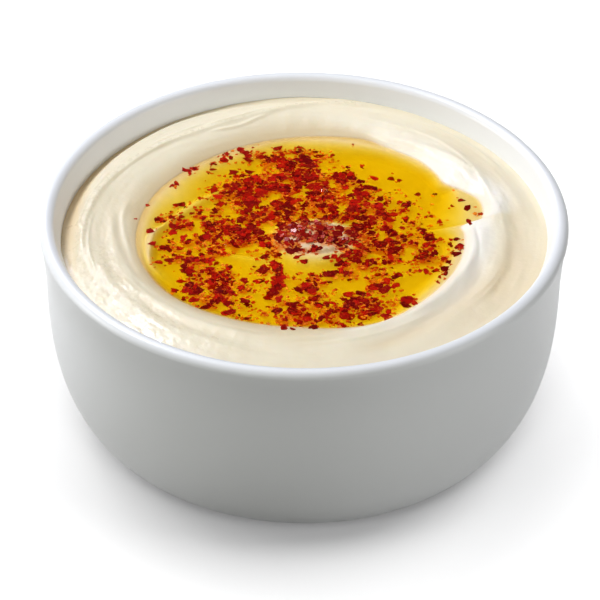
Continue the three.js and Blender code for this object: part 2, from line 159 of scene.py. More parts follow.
# Crests and grooves: each follows a track of (angle, radius), and has a height, a width inwards,
# a width outwards and a fade at its ends.
STROKES = [
    ([(66, 59.0), (75, 58.1), (84, 56.9), (91, 55.1), (99, 53.2), (109, 51.5), (122, 50.7),
      (133, 51.4), (144, 52.4), (155, 53.2), (168, 53.8), (181, 54.4), (196, 55.2)],
     0.5, 0.8, 1.6, 14),
    ([(150, 53.4), (168, 54.2), (190, 54.2), (215, 51.8), (240, 51.0), (262, 50.8)],
     0.3, 2.6, 3.0, 16),
    ([(150, 47.8), (166, 48.6), (183, 49.0), (207, 48.8), (232, 48.0), (258, 47.0)],
     -0.2, 1.6, 2.0, 14),
    ([(168, 48.6), (179, 47.4), (187, 46.6), (192, 46.2), (197, 45.6)], 0.22, 0.8, 1.2, 8),
    ([(160, 45.6), (172, 45.4), (181, 44.2), (190, 43.2), (194, 42.8)], 0.2, 0.6, 0.8, 8),
    ([(166, 46.8), (180, 45.6), (190, 44.6), (199, 44.2), (212, 43.6)], -0.25, 0.9, 1.0, 10),
    ([(200, 47.6), (210, 48.0), (217, 47.2), (225, 46.4), (240, 45.8), (258, 44.9), (275, 43.7),
      (293, 43.0), (306, 42.6)], 0.5, 1.6, 1.6, 12),
    ([(300, 42.8), (315, 42.3), (334, 42.4), (352, 41.7), (366, 41.0)], 0.6, 1.4, 1.5, 14),
    ([(280, 49.8), (288, 49.2), (298, 48.4), (306, 47.3), (314, 46.5), (323, 46.8), (332, 46.4),
      (341, 45.2), (352, 43.6)], -0.55, 2.2, 2.4, 14),
    ([(316, 48.6), (325, 48.4), (334, 49.5), (342, 50.1), (350, 49.9), (362, 49.2), (375, 49.4),
      (393, 49.8), (412, 48.5), (427, 46.8), (436, 48.7)], 0.3, 2.6, 1.0, 14),
    ([(322, 51.4), (330, 51.7), (338, 51.6), (353, 51.9), (370, 52.8), (388, 53.4), (396, 53.6),
      (412, 53.8)], -0.3, 2.0, 2.4, 14),
    ([(38, 46.4), (48, 46.8), (58, 46.6), (68, 47.2)], -0.12, 0.5, 0.7, 6),
]
# Finer marks inside the broad strokes, in the same form.
FINE_STROKES = [
    ([(98, 54.2), (112, 52.2), (121, 52.0)], 0.35, 0.4, 0.5, 6),
    ([(98, 52.6), (103, 50.9), (110, 48.9), (121, 49.3)], 0.4, 0.4, 0.6, 6),
    ([(322, 50.2), (336, 51.0), (350, 51.2)], 0.15, 0.5, 0.7, 8),
    ([(343, 44.0), (352, 43.4), (362, 42.6), (367, 43.2)], -0.2, 0.45, 0.5, 5),
    ([(12, 48.4), (20, 49.2), (32, 50.8), (48, 52.4), (67, 52.0), (74, 52.2)], 0.22, 0.4, 1.1, 8),
    ([(262, 46.4), (290, 45.4), (318, 44.6)], 0.15, 0.6, 0.6, 10),
    ([(24, 56.4), (44, 56.6), (64, 56.8)], 0.2, 0.5, 0.6, 10),
    ([(118, 53.4), (128, 53.0), (141, 53.7)], 0.22, 0.35, 0.5, 5),
    ([(130, 51.0), (146, 51.8), (160, 52.8)], 0.2, 0.3, 0.5, 6),
    ([(150, 54.6), (165, 55.2), (184, 55.8)], 0.2, 0.4, 0.6, 8),
    ([(172, 52.6), (186, 53.0), (200, 53.2)], 0.22, 0.3, 0.5, 6),
]
STROKE_START = 1.2  # how far from the pool's edge the marks get their full height
# A ridge of hummus under the oil, in the same form.
SHELF = ([(122, 29.6), (130, 29.4), (139, 29.7), (148, 30.4), (159, 31.9), (171, 34.7),
          (180, 38.0), (188, 38.7), (198, 38.8), (206, 38.0), (216, 36.4)], 1.1, 2.0, 0.8, 14)
# The tail of the mound, as points (x, y), with its height, its width on the left of its direction
# and its width on the right.
TAIL = ([(-20.5, -6.4), (-18.1, -7.1), (-13.0, -8.4), (-9.0, -9.6), (-7.0, -12.0), (-7.0, -16.0),
         (-7.6, -20.0), (-8.6, -25.5)], 1.0, 0.8, 2.4)
TAIL_FADE = 0.2  # share of the tail over which each end fades
FOLD_DEPTH = 1.2  # depth of oil that the ridge and the tail need for their full height

# ---- fine relief ----

# Each is a height, the size of a bump one way and the other, and the seed of its noise.
FLOOR_WAVES = (0.22, 6.0, 6.0, 31)
SWIRL_STREAKS = (0.05, 0.125, 0.125, 41)  # over the unit circle
SPOON_STREAKS = (0.035, 9.0, 1.0 / 1.1, 47)  # over angle and radius
LUMPS = (0.07, 4.0, 4.0, 43)
GRAIN = (0.02, 1.3, 1.3, 44)
RIBS = (0.06, 1.1, 9.0, 45)  # over angle and radius
RIPPLES = (0.085, 1.0, 1.0, 46)
WET_BANDS = (0.07, 5.0, 1.1, 48)  # over angle and radius
OIL_RIPPLE = (0.012, 5.0, 5.0, 51)
SWIRL_SHIFT = 2.5  # which part of the noise the unit circle runs through
SWIRL_PULL = 0.0875  # how fast the streaks of the swirl change outwards
SPOON_SLANT = 0.9
RIPPLE_ACROSS = (0.75, 2.2)  # the ripples lie aslant: size of one along x and along y
RIPPLE_ALONG = (2.4, 1.3)
RELIEF_START = 2.0  # how far from the pool's edge the relief gets its full height
LUMPS_IN_POOL = 0.35
# Where the hummus has ribs across the swirl: angle, spread, radius, spread.
RIBBED = [(88, 14, 48.5, 4.0), (250, 12, 49.0, 5.0)]
# Where the hummus is wet: share, angle, spread, then the radius where it starts and how far on it
# is full, or the radius where it is most and its spread.
WET_SLOPE = (0.8, 214, 42, 45.0, 4.0)
WET_BANK = (0.5, 25, 40, 48.5, 5.0)
WET_CREST = 0.7  # along the first stroke

# ---- colouring of the hummus ----

# How far the oil has crept out over the hummus from the pool's edge, by angle.
FILM = [
    (0, 0.8), (60, 0.6), (74, 4.0), (90, 8.0), (125, 6.0), (148, 6.0), (164, 7.0), (178, 3.5),
    (190, 2.8), (204, 5.0), (230, 5.5), (258, 11.0), (272, 12.0), (288, 3.5), (300, 0.8),
]
FILM_INSIDE = 2.0  # how far it shows inside the edge
FILM_FULL = 3.0  # a film that reaches less far than this is fainter
FILM_ON_MOUND = 0.9
SOAK_BLEND = 0.8
SOAK_BEYOND = 0.1  # how far past the shore the hummus is soaked
SOAK_RISE = 0.3  # above the oil's level nothing is soaked
FURROW_SHADE = 0.6  # painted shade in the grooves, for each millimetre of a groove's depth
GAP_SHADE = (154, 42)  # angle and spread of the painted shade in the gap along the wall
GAP_REACH = (3.4, 2.6, 178, 18)  # how wide it is, and how much wider near an angle
GAP_BLEND = 0.75  # share of its width over which it fades
BANK_PAINTED_SHADE = (0.3, 335, 28, 45.0, 6.0)  # painted shade on the outer bank at the front right: share, angle, spread, starting radius and run
PAINTED_SHEEN_BANK = (3.5, 4.0, 0, 56)  # painted sheen beside the pool: distance from the pool, its spread, angle, its spread
STAIN_FULL = 2.0  # density of flakes that stains the hummus fully
STAIN_ON_MOUND = 0.6
STAIN_BLEND = 3.0

# ---- chilli ----

EVEN_SCATTER = 0.52
PEAK_DENSITY = 3.4
TRIES = 20  # places drawn for each flake that is wanted
# Where the flakes lie thicker or thinner than evenly: (x, y, across, along, how much more).
PATCHES = [
    (0, 24, 8, 7, 3.0), (9, 17, 6, 5, 1.2), (-8, 33, 4, 3, 1.3), (1, 34, 4, 3, 0.6),
    (-16, 19, 6, 3.5, 1.4), (-30, 7, 4, 2.5, 1.0), (-21, 3, 6, 4, 1.9), (-27, -8, 4, 3, 1.3),
    (-14, 0, 8, 5, 0.8), (-20.5, -21.0, 3.8, 3.6, 3.8), (3, -19, 3, 4, 1.2),
    (-4, -32, 5, 3, 1.3), (13, -27.5, 6, 2.8, 1.9), (20, -3, 7, 4.0, 2.0),
    (31, -6.5, 2.6, 2.6, 2.0), (10, -8, 6, 5, 1.0), (18, 10, 6, 3.5, 1.3), (-3, 14, 8, 4, 1.2),
    (-16, 10, 6, 3, 1.0), (3, -1, 8, 5, 1.6), (18, -15, 4, 3, 0.5), (-10, -14, 3, 3, 0.4),
    (28, 31, 14, 12, -0.75), (-41, 2, 3, 12, -1.4), (13, 31, 5, 6, -0.6), (-30, 23, 9, 9, -0.6),
    (-38, 13, 4, 6, -0.5), (-15, -10, 4.5, 3.5, -0.8), (-33, -18, 4.5, 6, -0.55),
    (1, -11, 5, 3, -2.6), (9, -20.5, 3.5, 3, -0.8), (29, -20, 7, 6, -0.5),
    (39, 1, 2.5, 5, -0.45), (37, 10, 6, 7, -0.5), (-30, -30, 6, 6, -0.3), (26, -34, 10, 6, -0.6),
    (0, 42, 30, 3, -0.7), (6, -26, 3, 2, -0.4), (-6.4, -17, 0.8, 6, 3.2),
]
PATCH_SPREAD = 1.3  # for all of the patches
BARE_SHELF = 0.65  # share of the flakes that slid off the ridge under the oil
CLUMPS = [(1.5, 2.4, 2.4, 81), (0.6, 1.1, 1.1, 82)]  # in the form of the fine relief
# Flakes that lie alone, on the bank and in the clear oil: (x, y, width).
LONE_FLAKES = [
    (-30.2, 28.0, 3.0), (-28.4, 29.2, 2.8), (-29.2, 27.2, 2.2), (-32.4, 22.6, 2.8),
    (-33.4, 21.6, 1.8), (-20.6, 33.8, 3.0), (-18.8, 34.6, 2.2), (-15.2, 36.8, 3.2),
    (-16.2, 38.0, 2.4), (-14.4, 35.2, 2.4), (-39.2, 12.6, 1.2), (-41.8, 6.0, 0.9),
    (41.0, 12.6, 2.8), (22.2, 26.8, 2.6), (28.8, 18.6, 2.8), (33.0, 18.6, 1.4),
    (37.2, 13.4, 1.6), (14.8, 30.4, 1.6), (12.6, 41.0, 0.9), (24.2, 24.6, 1.6),
    (18.0, 21.0, 2.2), (38.6, -4.6, 1.6), (41.0, 4.4, 2.6), (34.6, -15.6, 2.4),
    (32.4, -18.8, 1.8), (33.0, -16.6, 1.6), (-4.4, -40.2, 2.6), (-2.6, -40.6, 1.8),
    (2.4, -39.0, 2.2), (7.3, -8.7, 2.6), (8.6, -9.9, 2.6), (9.9, -11.2, 2.3),
    (-1.5, -8.8, 2.2), (0.3, -10.5, 2.4), (-31.0, -22.8, 2.2), (-28.8, -25.6, 2.0),
    (-22.6, -29.4, 1.8), (-37.2, -3.6, 2.4), (-38.2, 1.6, 3.2),
]
FLAKES = 1950
FLAKE_SIZES = (0.7, 3.5)
SMALL_FLAKES = 1.9  # power that makes most of them small
FLAKE_THICKNESS = 0.13
FLAKE_DEPTHS = (0.0, 0.25)  # under the surface, for those that float
CRUMBS = 3400
CRUMB_SIZES = (0.5, 1.5)
CRUMB_THICKNESS = 0.1
CRUMB_DEPTHS = (0.25, 0.8)
CRUMB_INSIDE = 0.9  # how surely a crumb has to be inside the pool
CRUMBS_ABOUT = (0.4, 0.8)  # how far from a flake its crumbs lie, for each unit of its width
WET_FLAKES = 42  # on the mound
WET_SIZES = (0.8, 2.2)
WET_THICKNESS = 0.35
WET_LIFT = 0.3
WET_SUNK = 0.2  # how far under the oil's level they may start
FRONT_BARE = 0.14  # share of the mound's front that has none
FLOATING_SHARE = 0.8  # of the flakes: the others are deeper
DEEPEST_FLAKE = 2.4
ABOVE_HUMMUS = 0.02  # a flake that has sunk lies this far over it
TOP_CLEARANCE = 0.08  # of oil over the highest flake
EDGE_CLEARANCE = 0.4  # between the pool's edge and the flakes
FLAKE_FOOT = 0.35  # how far from its middle a flake may touch the hummus, for each unit of width
FLAT_TILT = 0.07  # how far the flakes lean, in radians
WET_TILT = 0.35
BUBBLES = [(5.0, 19.4, 1.15), (-19.2, -4.4, 0.35), (24.5, -2.0, 0.3), (-13.4, 34.2, 0.35)]
BUBBLE_SQUASH = 0.55
BUBBLE_LIFT = 0.05

# Chips about 1 wide: how many shapes they come in, how many corners each has, how far out a corner
# is, how much a chip curls, how much smaller its upper face is, and how narrow it is for its width.
CHIP_SHAPES = 24
CHIP_CORNERS = (7, 12)  # 7 to 11
CHIP_RAGGED = (0.55, 1.25)
CHIP_CURL = 0.25
CHIP_TAPER = (0.9, 1.0)
CHIP_NARROW = (0.45, 0.95)
DARK_CHIPS = 1.4  # power that makes most of them dark

# ---- chance ----

SEED = 7
SEEDS = {"chips": 5, "pool": 61, "flakes": 64, "crumbs": 66, "mound": 71, "wet": 72}
NOISE_CELLS = 128


def rng(offset):
    return np.random.default_rng(SEED + offset)


# ---- curves over angle and place ----


def ease(value):
    """From 0 to 1, flat at both ends."""
    t = np.clip(value, 0.0, 1.0)
    return t * t * (3.0 - 2.0 * t)


def bell(value, middle, spread):
    return np.exp(-(((value - middle) / spread) ** 2))


def round_bell(angle, middle, spread):
    """A bell in the angle that goes on past the end of the circle."""
    return bell((angle - middle + HALF_TURN) % FULL_TURN, HALF_TURN, spread)


def polar(x, y):
    return np.hypot(x, y), np.degrees(np.arctan2(y, x)) % FULL_TURN


def along(knots, angle):
    """A smooth curve through knots of (angle, value), by Catmull-Rom."""
    at = np.array([k[0] for k in knots], float)
    value = np.array([k[1] for k in knots], float)
    i = np.clip(np.searchsorted(at, angle, side="right") - 1, 0, len(at) - 2)
    t = np.clip((angle - at[i]) / (at[i + 1] - at[i]), 0.0, 1.0)
    p0, p1 = value[np.maximum(i - 1, 0)], value[i]
    p2, p3 = value[i + 1], value[np.minimum(i + 2, len(at) - 1)]
    bend = 2 * p0 - 5 * p1 + 4 * p2 - p3
    turn = 3 * p1 - p0 - 3 * p2 + p3
    return 0.5 * (2 * p1 + (p2 - p0) * t + bend * t**2 + turn * t**3)


def by_angle(knots):
    """A function of the angle that runs through the knots and joins up after a full turn."""
    before = [(a - FULL_TURN, v) for a, v in knots[-2:]]
    after = [(a + FULL_TURN, v) for a, v in knots[:2]]
    closed = before + knots + after
    return lambda angle: along(closed, angle)


pool_radius = by_angle(POOL_EDGE)
pool_run = by_angle(POOL_RUN)
pool_step = by_angle(POOL_STEP)
bank_run = by_angle(BANK_RUN)
bank_top = by_angle(BANK_TOP)
wall_line = by_angle(WALL_LINE)
wall_run = by_angle(WALL_RUN)
wall_fall = by_angle(WALL_FALL)
film_reach = by_angle(FILM)


def noise(x, y, seed):
    """Smooth noise between -1 and 1, with one bump for each unit of x and y."""
    lattice = rng(seed).random((NOISE_CELLS, NOISE_CELLS)) * 2.0 - 1.0
    i, j = np.floor(x).astype(int), np.floor(y).astype(int)
    u, v = ease(x - i), ease(y - j)

    def corner(a, b):
        return lattice[(i + a) % NOISE_CELLS, (j + b) % NOISE_CELLS]

    low = corner(0, 0) * (1 - u) + corner(1, 0) * u
    high = corner(0, 1) * (1 - u) + corner(1, 1) * u
    return low * (1 - v) + high * v


def relief(kind, x, y):
    """Noise of one kind: its height, the size of a bump both ways and its seed."""
    height, across, long, seed = kind
    return height * noise(x / across, y / long, seed)


# ---- the surface of the hummus ----


def inner_wall(height):
    share = (height - SHOULDER[1]) / (WALL_TOP[1] - SHOULDER[1])
    return SHOULDER[0] - WALL + (WALL_TOP[0] - SHOULDER[0]) * share


def stroke_height(stroke, radius, angle):
    track, height, inwards, outwards, fade = stroke
    first, end = track[0][0], track[-1][0]
    unrolled = np.where(angle < first, angle + FULL_TURN, angle)
    from_track = radius - along(track, unrolled)
    width = np.where(from_track < 0, inwards, outwards)
    share = ease((unrolled - first) / fade) * ease((end - unrolled) / fade)
    return height * share * bell(from_track, 0.0, width)


def smooth_route(points, steps=6):
    """More points on the curve through the given ones."""
    at = np.arange(len(points))
    fine = np.linspace(0, len(points) - 1, (len(points) - 1) * steps + 1)
    curve = [along(list(zip(at, [p[axis] for p in points])), fine) for axis in (0, 1)]
    return list(zip(*curve))


def tail_height(x, y):
    """A ridge with a gentle side and a steep side along the tail's route."""
    points, height, left_width, right_width = TAIL
    nearest = np.full(x.shape, np.inf)
    side = np.zeros(x.shape)
    reach = np.zeros(x.shape)
    route = smooth_route(points)
    for n, ((ax, ay), (bx, by)) in enumerate(zip(route[:-1], route[1:])):
        dx, dy = bx - ax, by - ay
        t = np.clip(((x - ax) * dx + (y - ay) * dy) / (dx * dx + dy * dy), 0.0, 1.0)
        far = np.hypot(x - ax - t * dx, y - ay - t * dy)
        nearer = far < nearest
        nearest = np.where(nearer, far, nearest)
        side = np.where(nearer, dx * (y - ay) - dy * (x - ax), side)
        reach = np.where(nearer, (n + t) / (len(route) - 1), reach)
    width = np.where(side > 0, left_width, right_width)
    fade = ease(reach / TAIL_FADE) * ease((1.0 - reach) / TAIL_FADE)
    return height * fade * bell(nearest, 0.0, width)


def from_mound(x, y):
    """About how far outside the mound's foot a point is, and below 0 on the mound."""
    share = np.hypot((x - MOUND["x"]) / MOUND["across"], (y - MOUND["y"]) / MOUND["along"])
    return (share - 1.0) * MOUND["across"]


def mound_height(x, y):
    from_top = np.clip(1.0 + from_mound(x, y) / MOUND["across"], 0.0, 1.0)
    return OIL_LEVEL + MOUND["top"] * (1.0 - from_top**2)


def fallen(radius, angle):
    """From 0 on the bank to 1 where the hummus has fallen to its level at the wall."""
    start = inner_wall(wall_line(angle)) - wall_run(angle)
    return ease((radius - start) / wall_fall(angle))


def bank_height(radius, angle):
    from_edge = radius - pool_radius(angle)
    top = bank_top(angle)
    rise = np.clip(from_edge / bank_run(angle), 0.0, 1.0)
    bank = OIL_LEVEL + (top - OIL_LEVEL) * (1.0 - (1.0 - rise) ** BANK_POWER)
    bank = bank + (wall_line(angle) - top) * fallen(radius, angle)
    strokes = sum(stroke_height(s, radius, angle) for s in STROKES + FINE_STROKES)
    return bank + strokes * ease(from_edge / STROKE_START)


def pool_depth(x, y, radius, angle):
    edge = pool_radius(angle)
    step = pool_step(angle)
    from_edge = np.maximum(edge - radius, 0.0)
    from_deep = np.maximum(np.minimum(edge, DEEP_REACH) - radius, 0.0)
    gentle = sum(round_bell(angle, middle, spread) for middle, spread in GENTLE_SHORES)
    slope = ease(from_deep / pool_run(angle)) ** (SLOPE_POWER + GENTLER * gentle)
    deep = step * ease(from_edge / STEP_RUN) + (POOL_DEPTH - step) * slope
    to_mound = np.maximum(from_mound(x, y), 0.0)
    deep = deep * ease(to_mound / MOUND_SLOPE) ** MOUND_POWER
    for middle_x, middle_y, across, long, missing in SHALLOWS:
        deep = deep * (1.0 - missing * bell(x, middle_x, across) * bell(y, middle_y, long))
    return deep


def well_height(x, y, radius, angle):
    """The floor of the pool, and the mound that stands out of it."""
    deep = pool_depth(x, y, radius, angle)
    folds = stroke_height(SHELF, radius, angle) + tail_height(x, y)
    floor = OIL_LEVEL - deep + folds * ease(deep / FOLD_DEPTH)
    floor = floor + relief(FLOOR_WAVES, x, y) * ease(deep)
    floor = np.minimum(floor, OIL_LEVEL - LEAST_OIL * ease(np.maximum(from_mound(x, y), 0.0)))
    return np.where(from_mound(x, y) < 0, mound_height(x, y), floor)


def wetness(radius, angle):
    share, middle, spread, start, run = WET_SLOPE
    slope = share * round_bell(angle, middle, spread) * ease((radius - start) / run)
    share, middle, spread, ring, width = WET_BANK
    bank = share * round_bell(angle, middle, spread) * bell(radius, ring, width)
    crest = WET_CREST * stroke_height(STROKES[0], radius, angle) / STROKES[0][1]
    return slope + bank + crest


def streaks(radius, angle):
    turn = np.radians(angle)
    swirl_x = np.cos(turn) + SWIRL_SHIFT
    swirl_y = np.sin(turn) + SWIRL_SHIFT + radius * SWIRL_PULL
    swirl = relief(SWIRL_STREAKS, swirl_x, swirl_y)
    return swirl + relief(SPOON_STREAKS, angle + radius * SPOON_SLANT, radius)


def ribs(radius, angle):
    ribbed = sum(
        round_bell(angle, middle, spread) * bell(radius, ring, width)
        for middle, spread, ring, width in RIBBED
    )
    return relief(RIBS, angle, radius) * ribbed


def ripples(x, y, radius, angle):
    across = x / RIPPLE_ACROSS[0] + y / RIPPLE_ACROSS[1]
    long = y / RIPPLE_ALONG[1] - x / RIPPLE_ALONG[0]
    uneven = relief(RIPPLES, across, long) + relief(WET_BANDS, angle, radius)
    return uneven * wetness(radius, angle)


def hummus_height(x, y):
    radius, angle = polar(x, y)
    edge = pool_radius(angle)
    well, bank = well_height(x, y, radius, angle), bank_height(radius, angle)
    height = np.where(radius < edge, well, bank)
    outside = ease((radius - edge) / RELIEF_START)
    fine = streaks(radius, angle) + ribs(radius, angle) + ripples(x, y, radius, angle)
    lumps = relief(LUMPS, x, y) + relief(GRAIN, x, y)
    return height + outside * fine + lumps * (LUMPS_IN_POOL + (1.0 - LUMPS_IN_POOL) * outside)


# ---- how thick the chilli lies ----


def density(x, y):
    """How thick the flakes lie: about the area of flakes on each unit of area."""
    total = np.full(np.shape(x), EVEN_SCATTER)
    for middle_x, middle_y, across, long, more in PATCHES:
        patch = bell(x, middle_x, across * PATCH_SPREAD) * bell(y, middle_y, long * PATCH_SPREAD)
        total = total + more * patch
    shelf = stroke_height(SHELF, *polar(x, y)) / SHELF[1]
    total = total * (1.0 - BARE_SHELF * shelf)
    clumps = 1.0 + sum(relief(clump, x, y) for clump in CLUMPS)
    return np.maximum(total, 0.0) * np.maximum(clumps, 0.0)


# ---- colouring of the hummus, from 0 to 1 at each point ----


def in_pool(x, y, blend, beyond=0.0):
    """1 inside the pool and 0 outside it, over a band that ends a little beyond its edge."""
    radius, angle = polar(x, y)
    return ease((pool_radius(angle) + SHORE + beyond - radius) / blend)


def stain(x, y):
    """How much the chilli about a point colours the hummus under it."""
    on_mound = bell(from_mound(x, y), -MOUND["across"], MOUND["across"])
    amount = density(x, y) / STAIN_FULL + STAIN_ON_MOUND * on_mound
    return np.clip(amount, 0.0, 1.0) * in_pool(x, y, STAIN_BLEND)


def soaked(x, y, z):
    return in_pool(x, y, SOAK_BLEND, SOAK_BEYOND) * (z < OIL_LEVEL + SOAK_RISE)


def film(x, y):
    """Where a thin film of oil darkens the hummus: round the pool and on the mound."""
    radius, angle = polar(x, y)
    from_edge = radius - pool_radius(angle)
    reach = film_reach(angle)
    spread = ease(1.0 - from_edge / reach) * ease(1.0 + from_edge / FILM_INSIDE)
    return np.maximum(spread * ease(reach / FILM_FULL), FILM_ON_MOUND * (from_mound(x, y) < 0.0))


def wall_painted_shade(radius, angle):
    """Painted shade where the hummus turns down to the wall."""
    least, more, middle, spread = GAP_REACH
    reach = least + more * round_bell(angle, middle, spread)
    from_wall = inner_wall(FILL_LEVEL) - radius
    return round_bell(angle, *GAP_SHADE) * ease((reach - from_wall) / (GAP_BLEND * reach))


# Painted shade: in the grooves, in the gap along the wall and on the outer bank at the front right.
def painted_shade(x, y):
    radius, angle = polar(x, y)
    grooves = [stroke for stroke in STROKES + FINE_STROKES if stroke[1] < 0.0]
    depth = -sum(stroke_height(groove, radius, angle) for groove in grooves)
    share, middle, spread, start, run = BANK_PAINTED_SHADE
    bank_shade = share * round_bell(angle, middle, spread) * ease((radius - start) / run)
    shade = np.clip(FURROW_SHADE * depth, 0.0, 1.0) + wall_painted_shade(radius, angle) + bank_shade
    return np.clip(shade, 0.0, 1.0)


# Painted sheen on the bank beside the pool, round its right side.
def painted_sheen(x, y):
    radius, angle = polar(x, y)
    away, width, middle, spread = PAINTED_SHEEN_BANK
    return bell(radius - pool_radius(angle), away, width) * round_bell(angle, middle, spread)


# ---- meshes ----

dish = bpy.data.collections.new("dish")
dry = bpy.data.collections.new("dry")  # the dish but its oil, which would mirror the low lamps
table = bpy.data.collections.new("table")
for group in (dish, table):
    bpy.context.scene.collection.children.link(group)

OIL_PIECES = ("olive_oil", "oil_bubbles")
WELD = 1e-7  # metres
ROUNDING = 0.01  # of a height that is read back from a mesh


def piece_from(mesh, name, material, node=None):
    """A piece that rides on the root, with smooth faces and its material."""
    mesh.name = name
    obj = bpy.data.objects.new(name, mesh)
    dish.objects.link(obj)
    if name not in OIL_PIECES:
        dry.objects.link(obj)
    mesh.materials.clear()
    mesh.materials.append(material)
    mesh.shade_smooth()
    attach(obj, "root")
    if node:
        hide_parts(node)
    return obj


def mesh_from(bm, name):
    mesh = bpy.data.meshes.new(name)
    bm.to_mesh(mesh)
    bm.free()
    return mesh


def turned(profile, sides):
    """A closed mesh of revolution: a grid rolled up round the axis and welded along its seam.

    The profile is a list of (radius, height) that starts and ends on the axis.
    """
    rows = len(profile) - 1
    bm = bmesh.new()
    bmesh.ops.create_grid(bm, x_segments=sides, y_segments=rows, size=0.5)
    for vert in bm.verts:
        turn = (vert.co.x + 0.5) * math.tau
        radius, height = profile[round((vert.co.y + 0.5) * rows)]
        vert.co = Vector((radius * math.cos(turn), radius * math.sin(turn), height)) * MM
    edge = [v for v in bm.verts if v.is_boundary]
    bmesh.ops.remove_doubles(bm, verts=edge, dist=WELD)
    bmesh.ops.recalc_face_normals(bm, faces=bm.faces)
    return mesh_from(bm, "turned")


def coordinates(mesh):
    co = np.empty(len(mesh.vertices) * 3)
    mesh.vertices.foreach_get("co", co)
    return co.reshape(-1, 3) / MM


def set_coordinates(mesh, co):
    mesh.vertices.foreach_set("co", (co * MM).ravel())
    mesh.update()


def attribute(mesh, name, values):
    mesh.attributes.new(name, "FLOAT", "POINT").data.foreach_set("value", values)


# ---- the bowl ----


def belly_curve(foot, shoulder, steps):
    points = []
    for i in range(steps + 1):
        turn = i / steps * math.pi / 2.0
        out = math.sin(turn) ** (2.0 / BELLY)
        up = 1.0 - math.cos(turn) ** (2.0 / BELLY)
        radius = foot[0] + (shoulder[0] - foot[0]) * out
        points.append((radius, foot[1] + (shoulder[1] - foot[1]) * up))
    return points


def lip_curve():
    middle = (BOWL_RADIUS - LIP_RADIUS, BOWL_HEIGHT - LIP_RADIUS)
    turns = [math.pi * i / LIP_STEPS for i in range(LIP_STEPS + 1)]
    return [
        (middle[0] + LIP_RADIUS * math.cos(t), middle[1] + LIP_RADIUS * math.sin(t)) for t in turns
    ]


def bowl_profile():
    ring = FOOT_RADIUS - FOOT_RING
    inside = belly_curve((INNER_FOOT, FLOOR), (SHOULDER[0] - WALL, SHOULDER[1]), BELLY_STEPS)
    return (
        [(0.0, FOOT_RECESS), (ring - FOOT_RECESS, FOOT_RECESS), (ring, 0.0)]
        + belly_curve((FOOT_RADIUS, 0.0), SHOULDER, BELLY_STEPS)
        + [WALL_TOP]
        + lip_curve()
        + [(WALL_TOP[0] - WALL, WALL_TOP[1])]
        + inside[::-1]
        + [(0.0, FLOOR)]
    )


def make_bowl(material):
    mesh = turned(bowl_profile(), BOWL_SIDES)
    piece_from(mesh, "bowl", material, node="bowl")


# ---- the hummus ----

RING_STEP = 0.3  # from the calm middle to the next ring
HUMMUS_CALM = (34.0, 46)  # radius of the calm middle, and how many rings it has
HUMMUS_RINGS = 100  # from there to the wall
UNDERSIDE_STEPS = 8
OIL_CALM = (36.0, 37)
OIL_RINGS = 56
OIL_REACH = 47.4  # just past the tip of the beak


def ring_radii(calm, rings, reach):
    """Radii of the rings of a surface: wide apart in the middle, and close from the shore on."""
    calm_radius, calm_rings = calm
    middle = np.linspace(0.0, calm_radius, calm_rings)
    return np.concatenate([middle, np.linspace(calm_radius + RING_STEP, reach, rings)])


def hummus_profile():
    top = ring_radii(HUMMUS_CALM, HUMMUS_RINGS, inner_wall(FILL_LEVEL) + INTO_WALL)
    foot = (INNER_FOOT, FLOOR + UNDER_GAP)
    shoulder = (SHOULDER[0] - WALL - UNDER_GAP, SHOULDER[1])
    side = belly_curve(foot, shoulder, UNDERSIDE_STEPS)
    return [(r, FILL_LEVEL) for r in top] + side[::-1] + [(0.0, foot[1])]


def colour_hummus(mesh, co, top):
    x, y, z = co.T
    amounts = {
        "stain": stain(x, y),
        "soaked": soaked(x, y, z),
        "film": film(x, y),
        "wet": wetness(*polar(x, y)),
        # painted shade
        "painted_shade": painted_shade(x, y),
        # painted sheen
        "painted_sheen": painted_sheen(x, y),
    }
    for name, amount in amounts.items():
        attribute(mesh, name, np.where(top, amount, 0.0))


def make_hummus(material):
    mesh = turned(hummus_profile(), DIP_SIDES)
    co = coordinates(mesh)
    top = np.isclose(co[:, 2], FILL_LEVEL, atol=ROUNDING)
    co[top, 2] = hummus_height(co[top, 0], co[top, 1])
    set_coordinates(mesh, co)
    colour_hummus(mesh, co, top)
    piece_from(mesh, "hummus", material, node="hummus")


# ---- the oil ----


def pulled_in(co):
    """Points beyond the pool's edge, brought back to it."""
    radius, angle = polar(co[:, 0], co[:, 1])
    limit = pool_radius(angle) + SHORE
    beyond = radius > limit
    co[beyond, :2] *= (limit[beyond] / radius[beyond])[:, None]
    return co


def make_oil(material):
    """Flat on top, and just under the surface of the hummus everywhere else."""
    radii = ring_radii(OIL_CALM, OIL_RINGS, OIL_REACH)
    profile = [(r, OIL_LEVEL) for r in radii] + [(r, 0.0) for r in radii[::-1]]
    mesh = turned(profile, OIL_SIDES)
    co = pulled_in(coordinates(mesh))
    x, y, z = co.T
    below = np.minimum(hummus_height(x, y) - OIL_GAP, OIL_LEVEL - OIL_EDGE)
    co[:, 2] = np.where(z < OIL_LEVEL / 2.0, below, OIL_LEVEL + relief(OIL_RIPPLE, x, y))
    set_coordinates(mesh, co)
    piece_from(mesh, "olive_oil", material, node="olive_oil")


def make_bubbles(material):
    """Low domes of oil on the pool."""
    bm = bmesh.new()
    for x, y, radius in BUBBLES:
        made = bmesh.ops.create_uvsphere(bm, u_segments=24, v_segments=12, radius=radius * MM)
        bmesh.ops.scale(bm, verts=made["verts"], vec=(1.0, 1.0, BUBBLE_SQUASH))
        centre = Vector((x, y, OIL_LEVEL + BUBBLE_LIFT * radius)) * MM
        bmesh.ops.translate(bm, verts=made["verts"], vec=centre)
    piece_from(mesh_from(bm, "oil_bubbles"), "oil_bubbles", material)


# ---- the chilli ----


